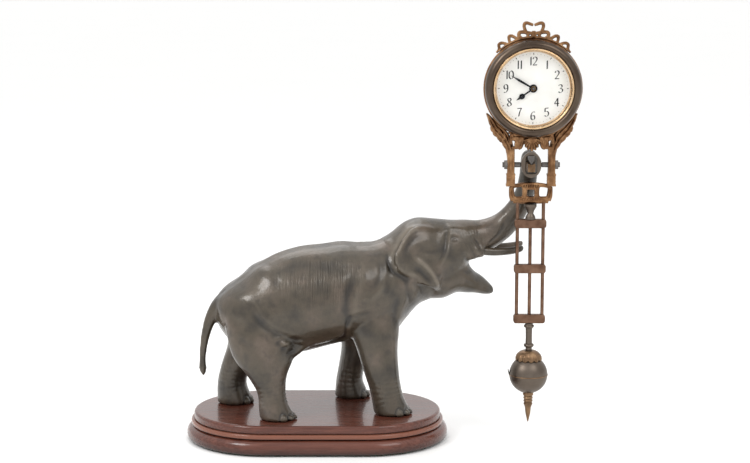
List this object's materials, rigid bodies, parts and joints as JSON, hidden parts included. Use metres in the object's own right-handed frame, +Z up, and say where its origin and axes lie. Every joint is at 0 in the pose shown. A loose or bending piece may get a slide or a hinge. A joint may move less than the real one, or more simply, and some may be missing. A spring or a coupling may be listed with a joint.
{
  "type": "swinging mystery clock",
  "caption": "Cast elephant on a moulded oval plinth that holds up, on its raised trunk, a round clock which swings as the head of a compound gridiron pendulum with a ball bob.",
  "frame": {"origin": "centre of the plinth's underside, on the surface that it stands on", "axes": "+X along the plinth towards the clock, +Y away from the dial's viewer, +Z up"},
  "size_m": [0.2693, 0.114, 0.2864],
  "materials": {
    "wood": "polished mahogany",
    "felt": "green baize",
    "patina": "patinated cast metal",
    "gilt": "gilt, satin",
    "bronze": "bronzed brass",
    "brass": "lacquered",
    "steel": "turned",
    "black_steel": "blued black",
    "glass": "clear",
    "enamel": "white enamel"
  },
  "bodies": {
    "stand": {"plinth": "wood", "base_felt": "felt", "elephant_body": "patina", "right_tusk": "patina", "left_tusk": "patina", "tail": "patina", "foot_bolts": "steel", "foot_washers": "steel", "seat_block": "brass", "seat_screw": "steel"},
    "hanger": {"hanger_ring": "bronze", "knife_edge": "steel"},
    "pendulum": {"pivot_screws": "black_steel", "lock_nuts": "black_steel", "yoke": "gilt", "apron": "gilt", "bridge_mount": "gilt", "rod_cup": "bronze", "top_crossbar": "bronze", "middle_crossbar": "bronze", "bottom_crossbar": "bronze", "side_rods": "bronze", "centre_rod": "bronze", "neck": "steel", "case_drum": "brass", "gilt_rim": "gilt", "bezel": "bronze", "sight_ring": "gilt", "crystal": "glass", "dial": "enamel", "crest": "gilt", "rear_cover": "brass", "front_plate": "brass", "back_plate": "brass", "pillars": "brass", "movement_screws": "steel", "click": "steel", "balance_weight": "brass"},
    "minute_work": {"centre_arbor": "steel", "set_knob": "brass", "minute_hand": "black_steel", "hand_nut": "brass"},
    "hour_work": {"hour_wheel": "brass", "hour_hand": "black_steel"},
    "motion_work": {"minute_wheel": "brass"},
    "barrel_group": {"barrel": "brass", "barrel_cap": "brass", "mainspring": "steel"},
    "winding": {"barrel_arbor": "steel", "ratchet_wheel": "steel", "winding_key": "brass"},
    "centre_group": {"centre_wheel": "brass"},
    "third_group": {"third_wheel": "steel"},
    "escape_group": {"escape_wheel": "brass"},
    "drive": {"anchor": "steel", "drive_pendulum": "brass"},
    "bob": {"bob_upper": "bronze", "bob_lower": "bronze", "bob_cap": "gilt"},
    "rating": {"rating_nut": "bronze"}
  },
  "joints": [
    {"name": "swing", "type": "hinge", "parent": "stand", "child": "hanger", "pos_m": [0.146, 0, 0.1892], "axis": [0, 1, 0], "range_deg": [-4, 4]},
    {"name": "fore_aft", "type": "hinge", "parent": "hanger", "child": "pendulum", "pos_m": [0.146, 0, 0.1892], "axis": [1, 0, 0], "range_deg": [-2, 2]},
    {"name": "minute_turn", "type": "hinge", "parent": "pendulum", "child": "minute_work", "pos_m": [0.146, 0.002, 0.2415], "axis": [0, 1, 0], "continuous": true},
    {"name": "hour_turn", "type": "hinge", "parent": "pendulum", "child": "hour_work", "pos_m": [0.146, 0.002, 0.2415], "axis": [0, 1, 0], "continuous": true},
    {"name": "motion_turn", "type": "hinge", "parent": "pendulum", "child": "motion_work", "pos_m": [0.15519, 0.002, 0.23379], "axis": [0, 1, 0], "continuous": true},
    {"name": "escape_turn", "type": "hinge", "parent": "pendulum", "child": "escape_group", "pos_m": [0.14161, 0.002, 0.25665], "axis": [0, 1, 0], "continuous": true},
    {"name": "third_turn", "type": "hinge", "parent": "pendulum", "child": "third_group", "pos_m": [0.1532, 0.002, 0.25397], "axis": [0, 1, 0], "continuous": true},
    {"name": "centre_turn", "type": "hinge", "parent": "pendulum", "child": "centre_group", "pos_m": [0.146, 0.002, 0.2415], "axis": [0, 1, 0], "continuous": true},
    {"name": "barrel_turn", "type": "hinge", "parent": "pendulum", "child": "barrel_group", "pos_m": [0.1361, 0.002, 0.2316], "axis": [0, 1, 0], "continuous": true},
    {"name": "winding_turn", "type": "hinge", "parent": "pendulum", "child": "winding", "pos_m": [0.1361, 0.002, 0.2316], "axis": [0, 1, 0], "continuous": true},
    {"name": "drive_swing", "type": "hinge", "parent": "pendulum", "child": "drive", "pos_m": [0.14161, 0.002, 0.26603], "axis": [0, 1, 0], "range_deg": [-4, 4]},
    {"name": "bob_slide", "type": "slide", "parent": "pendulum", "child": "bob", "axis": [0, 0, 1], "range_m": [-0.002, 0.001]},
    {"name": "rating_turn", "type": "hinge", "parent": "bob", "child": "rating", "pos_m": [0.146, 0, 0.03], "axis": [0, 0, 1], "range_deg": [-720, 360]}
  ],
  "couplings": [
    {"joint": "hour_turn", "follows": "minute_turn", "ratio": 0.083333},
    {"joint": "motion_turn", "follows": "minute_turn", "ratio": -0.33333},
    {"joint": "third_turn", "follows": "escape_turn", "ratio": -0.13333},
    {"joint": "centre_turn", "follows": "escape_turn", "ratio": 0.016667},
    {"joint": "barrel_turn", "follows": "escape_turn", "ratio": -0.0027778},
    {"joint": "rating_turn", "follows": "bob_slide", "rad_per_m": 6283.2}
  ]
}
